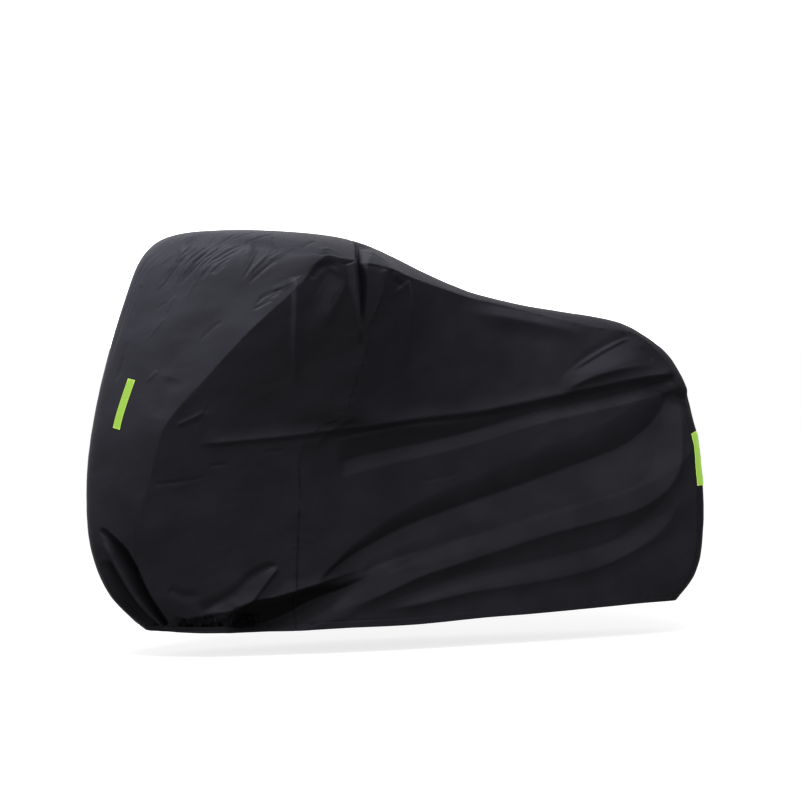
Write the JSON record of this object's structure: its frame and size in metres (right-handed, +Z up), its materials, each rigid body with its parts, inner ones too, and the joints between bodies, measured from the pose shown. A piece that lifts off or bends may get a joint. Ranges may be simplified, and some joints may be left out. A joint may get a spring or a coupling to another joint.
{
  "type": "bicycle cover",
  "caption": "Fitted bicycle cover, draped hollow shell of black cloth with a shaped centre panel, pieced side panels, open gathered hem and reflective strips.",
  "frame": {"origin": "the underside of the cloth at the middle of the handlebar, where the cover rests on what it covers", "axes": "+Z up, -X to the front of the covered bicycle, near side of the picture at -Y"},
  "size_m": [1.7775, 0.6807, 1.0541],
  "materials": {
    "cover_cloth": "black coated polyester, soft sheen",
    "reflective_tape": "yellow-green woven reflective tape with a lighter sewn border"
  },
  "bodies": {
    "root": {"centre_panel": "cover_cloth", "near_front_panel": "cover_cloth", "near_rear_panel": "cover_cloth", "far_front_panel": "cover_cloth", "far_rear_panel": "cover_cloth", "front_reflector": "reflective_tape", "rear_reflector": "reflective_tape"}
  },
  "joints": []
}
